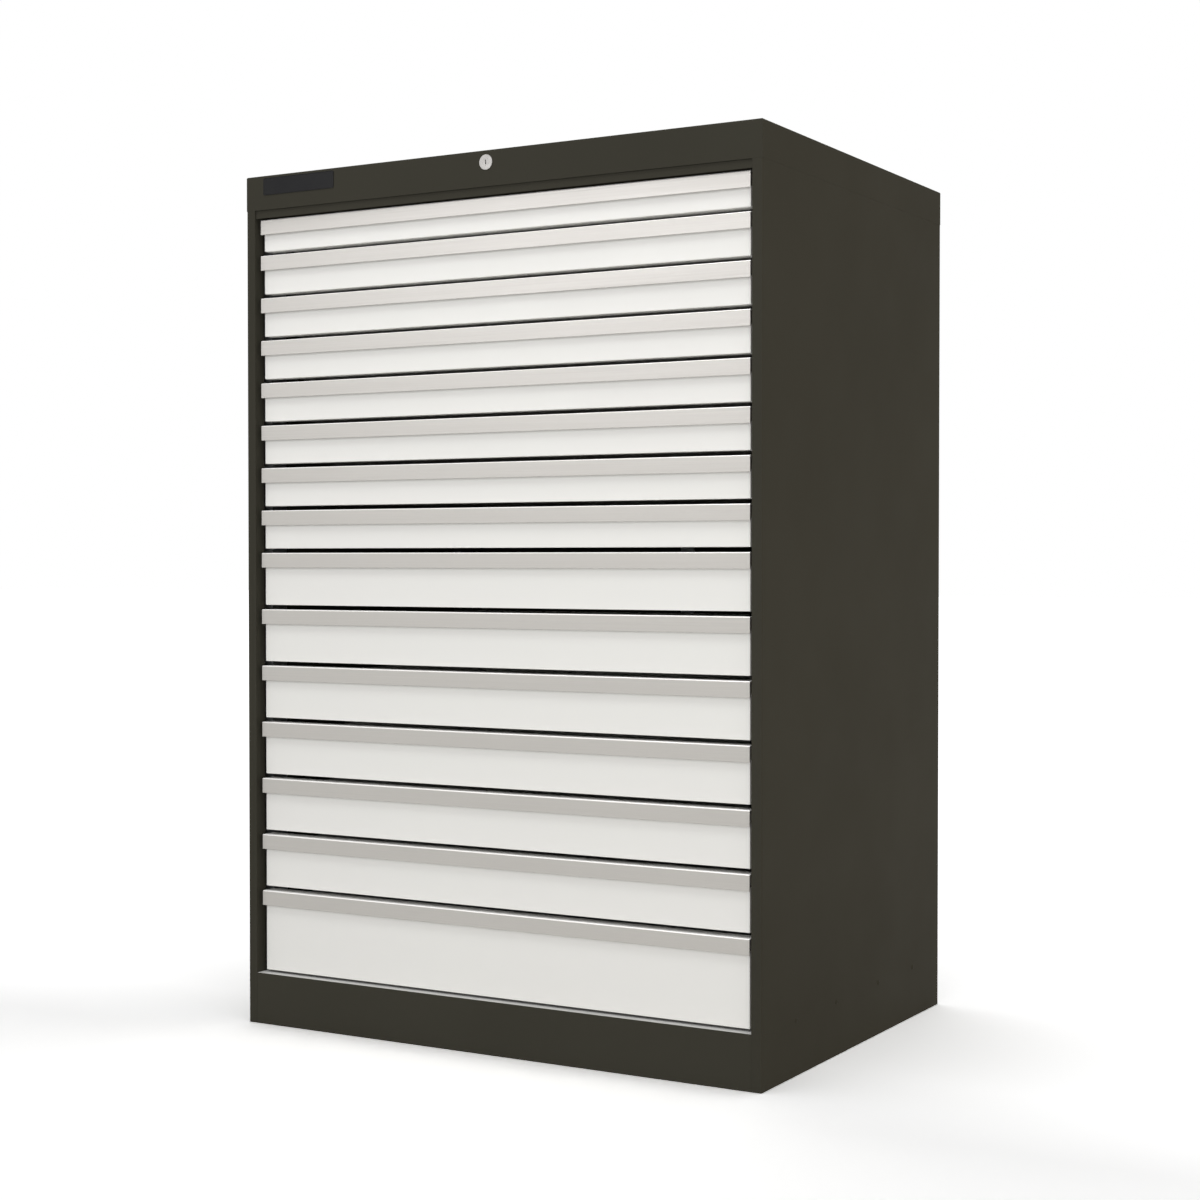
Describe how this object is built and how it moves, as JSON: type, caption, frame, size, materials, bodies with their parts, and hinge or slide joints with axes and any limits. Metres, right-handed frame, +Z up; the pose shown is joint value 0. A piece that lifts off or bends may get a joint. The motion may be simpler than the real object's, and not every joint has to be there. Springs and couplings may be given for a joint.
{
  "type": "heavy-duty drawer cabinet",
  "caption": "Tall sheet-steel workshop cabinet with full-width drawers on roller carriages, hooked aluminium handles and one central lock.",
  "frame": {"origin": "on the floor, at the centre of the four anchor holes, which is the centre of the footprint", "axes": "+Z up, +X to the right of someone facing the drawers, +Y from the drawer fronts to the back"},
  "size_m": [1.01, 0.756, 1.5],
  "materials": {
    "carcass_paint": "fine-textured charcoal powder coat, matt",
    "drawer_paint": "fine-textured light grey powder coat, matt",
    "handle_aluminium": "satin anodised extrusion",
    "zinc_steel": "bright zinc plate",
    "lock_nickel": "satin nickel plate"
  },
  "bodies": {
    "root": {"left_side_panel": "carcass_paint", "right_side_panel": "carcass_paint", "back_panel": "carcass_paint", "top_cap": "carcass_paint", "top_cross_rail": "carcass_paint", "plinth_rail": "carcass_paint", "base_channels": "carcass_paint", "floor_pan": "carcass_paint", "slotted_uprights": "zinc_steel", "left_runners": "zinc_steel", "right_runners": "zinc_steel", "lock_body": "lock_nickel"},
    "lock_turn": {"lock_plug": "lock_nickel", "lock_shaft": "zinc_steel"},
    "lock_bar": {"lock_bar": "zinc_steel"},
    "drawer_01": {"drawer_01_tray": "drawer_paint", "drawer_01_handle": "handle_aluminium"},
    "carriage_01": {"carriage_01": "zinc_steel"},
    "drawer_02": {"drawer_02_tray": "drawer_paint", "drawer_02_handle": "handle_aluminium"},
    "carriage_02": {"carriage_02": "zinc_steel"},
    "drawer_03": {"drawer_03_tray": "drawer_paint", "drawer_03_handle": "handle_aluminium"},
    "carriage_03": {"carriage_03": "zinc_steel"},
    "drawer_04": {"drawer_04_tray": "drawer_paint", "drawer_04_handle": "handle_aluminium"},
    "carriage_04": {"carriage_04": "zinc_steel"},
    "drawer_05": {"drawer_05_tray": "drawer_paint", "drawer_05_handle": "handle_aluminium"},
    "carriage_05": {"carriage_05": "zinc_steel"},
    "drawer_06": {"drawer_06_tray": "drawer_paint", "drawer_06_handle": "handle_aluminium"},
    "carriage_06": {"carriage_06": "zinc_steel"},
    "drawer_07": {"drawer_07_tray": "drawer_paint", "drawer_07_handle": "handle_aluminium"},
    "carriage_07": {"carriage_07": "zinc_steel"},
    "drawer_08": {"drawer_08_tray": "drawer_paint", "drawer_08_handle": "handle_aluminium"},
    "carriage_08": {"carriage_08": "zinc_steel"},
    "drawer_09": {"drawer_09_tray": "drawer_paint", "drawer_09_handle": "handle_aluminium"},
    "carriage_09": {"carriage_09": "zinc_steel"},
    "drawer_10": {"drawer_10_tray": "drawer_paint", "drawer_10_handle": "handle_aluminium"},
    "carriage_10": {"carriage_10": "zinc_steel"},
    "drawer_11": {"drawer_11_tray": "drawer_paint", "drawer_11_handle": "handle_aluminium"},
    "carriage_11": {"carriage_11": "zinc_steel"},
    "drawer_12": {"drawer_12_tray": "drawer_paint", "drawer_12_handle": "handle_aluminium"},
    "carriage_12": {"carriage_12": "zinc_steel"},
    "drawer_13": {"drawer_13_tray": "drawer_paint", "drawer_13_handle": "handle_aluminium"},
    "carriage_13": {"carriage_13": "zinc_steel"},
    "drawer_14": {"drawer_14_tray": "drawer_paint", "drawer_14_handle": "handle_aluminium"},
    "carriage_14": {"carriage_14": "zinc_steel"},
    "drawer_15": {"drawer_15_tray": "drawer_paint", "drawer_15_handle": "handle_aluminium"},
    "carriage_15": {"carriage_15": "zinc_steel"}
  },
  "joints": [
    {"name": "lock_turn", "type": "hinge", "parent": "root", "child": "lock_turn", "pos_m": [0, -0.36, 1.48], "axis": [0, 1, 0], "range_deg": [0, 90]},
    {"name": "lock_bar_lift", "type": "slide", "parent": "root", "child": "lock_bar", "axis": [0, 0, 1], "range_m": [0, 0.012]},
    {"name": "drawer_01_slide", "type": "slide", "parent": "root", "child": "drawer_01", "axis": [0, -1, 0], "range_m": [0, 0.62]},
    {"name": "carriage_01_slide", "type": "slide", "parent": "root", "child": "carriage_01", "axis": [0, -1, 0], "range_m": [0, 0.31]},
    {"name": "drawer_02_slide", "type": "slide", "parent": "root", "child": "drawer_02", "axis": [0, -1, 0], "range_m": [0, 0.62]},
    {"name": "carriage_02_slide", "type": "slide", "parent": "root", "child": "carriage_02", "axis": [0, -1, 0], "range_m": [0, 0.31]},
    {"name": "drawer_03_slide", "type": "slide", "parent": "root", "child": "drawer_03", "axis": [0, -1, 0], "range_m": [0, 0.62]},
    {"name": "carriage_03_slide", "type": "slide", "parent": "root", "child": "carriage_03", "axis": [0, -1, 0], "range_m": [0, 0.31]},
    {"name": "drawer_04_slide", "type": "slide", "parent": "root", "child": "drawer_04", "axis": [0, -1, 0], "range_m": [0, 0.62]},
    {"name": "carriage_04_slide", "type": "slide", "parent": "root", "child": "carriage_04", "axis": [0, -1, 0], "range_m": [0, 0.31]},
    {"name": "drawer_05_slide", "type": "slide", "parent": "root", "child": "drawer_05", "axis": [0, -1, 0], "range_m": [0, 0.62]},
    {"name": "carriage_05_slide", "type": "slide", "parent": "root", "child": "carriage_05", "axis": [0, -1, 0], "range_m": [0, 0.31]},
    {"name": "drawer_06_slide", "type": "slide", "parent": "root", "child": "drawer_06", "axis": [0, -1, 0], "range_m": [0, 0.62]},
    {"name": "carriage_06_slide", "type": "slide", "parent": "root", "child": "carriage_06", "axis": [0, -1, 0], "range_m": [0, 0.31]},
    {"name": "drawer_07_slide", "type": "slide", "parent": "root", "child": "drawer_07", "axis": [0, -1, 0], "range_m": [0, 0.62]},
    {"name": "carriage_07_slide", "type": "slide", "parent": "root", "child": "carriage_07", "axis": [0, -1, 0], "range_m": [0, 0.31]},
    {"name": "drawer_08_slide", "type": "slide", "parent": "root", "child": "drawer_08", "axis": [0, -1, 0], "range_m": [0, 0.62]},
    {"name": "carriage_08_slide", "type": "slide", "parent": "root", "child": "carriage_08", "axis": [0, -1, 0], "range_m": [0, 0.31]},
    {"name": "drawer_09_slide", "type": "slide", "parent": "root", "child": "drawer_09", "axis": [0, -1, 0], "range_m": [0, 0.62]},
    {"name": "carriage_09_slide", "type": "slide", "parent": "root", "child": "carriage_09", "axis": [0, -1, 0], "range_m": [0, 0.31]},
    {"name": "drawer_10_slide", "type": "slide", "parent": "root", "child": "drawer_10", "axis": [0, -1, 0], "range_m": [0, 0.62]},
    {"name": "carriage_10_slide", "type": "slide", "parent": "root", "child": "carriage_10", "axis": [0, -1, 0], "range_m": [0, 0.31]},
    {"name": "drawer_11_slide", "type": "slide", "parent": "root", "child": "drawer_11", "axis": [0, -1, 0], "range_m": [0, 0.62]},
    {"name": "carriage_11_slide", "type": "slide", "parent": "root", "child": "carriage_11", "axis": [0, -1, 0], "range_m": [0, 0.31]},
    {"name": "drawer_12_slide", "type": "slide", "parent": "root", "child": "drawer_12", "axis": [0, -1, 0], "range_m": [0, 0.62]},
    {"name": "carriage_12_slide", "type": "slide", "parent": "root", "child": "carriage_12", "axis": [0, -1, 0], "range_m": [0, 0.31]},
    {"name": "drawer_13_slide", "type": "slide", "parent": "root", "child": "drawer_13", "axis": [0, -1, 0], "range_m": [0, 0.62]},
    {"name": "carriage_13_slide", "type": "slide", "parent": "root", "child": "carriage_13", "axis": [0, -1, 0], "range_m": [0, 0.31]},
    {"name": "drawer_14_slide", "type": "slide", "parent": "root", "child": "drawer_14", "axis": [0, -1, 0], "range_m": [0, 0.62]},
    {"name": "carriage_14_slide", "type": "slide", "parent": "root", "child": "carriage_14", "axis": [0, -1, 0], "range_m": [0, 0.31]},
    {"name": "drawer_15_slide", "type": "slide", "parent": "root", "child": "drawer_15", "axis": [0, -1, 0], "range_m": [0, 0.62]},
    {"name": "carriage_15_slide", "type": "slide", "parent": "root", "child": "carriage_15", "axis": [0, -1, 0], "range_m": [0, 0.31]}
  ],
  "couplings": [
    {"joint": "lock_turn", "follows": "lock_bar_lift", "rad_per_m": 130.9},
    {"joint": "carriage_01_slide", "follows": "drawer_01_slide", "ratio": 0.5},
    {"joint": "carriage_02_slide", "follows": "drawer_02_slide", "ratio": 0.5},
    {"joint": "carriage_03_slide", "follows": "drawer_03_slide", "ratio": 0.5},
    {"joint": "carriage_04_slide", "follows": "drawer_04_slide", "ratio": 0.5},
    {"joint": "carriage_05_slide", "follows": "drawer_05_slide", "ratio": 0.5},
    {"joint": "carriage_06_slide", "follows": "drawer_06_slide", "ratio": 0.5},
    {"joint": "carriage_07_slide", "follows": "drawer_07_slide", "ratio": 0.5},
    {"joint": "carriage_08_slide", "follows": "drawer_08_slide", "ratio": 0.5},
    {"joint": "carriage_09_slide", "follows": "drawer_09_slide", "ratio": 0.5},
    {"joint": "carriage_10_slide", "follows": "drawer_10_slide", "ratio": 0.5},
    {"joint": "carriage_11_slide", "follows": "drawer_11_slide", "ratio": 0.5},
    {"joint": "carriage_12_slide", "follows": "drawer_12_slide", "ratio": 0.5},
    {"joint": "carriage_13_slide", "follows": "drawer_13_slide", "ratio": 0.5},
    {"joint": "carriage_14_slide", "follows": "drawer_14_slide", "ratio": 0.5},
    {"joint": "carriage_15_slide", "follows": "drawer_15_slide", "ratio": 0.5}
  ]
}
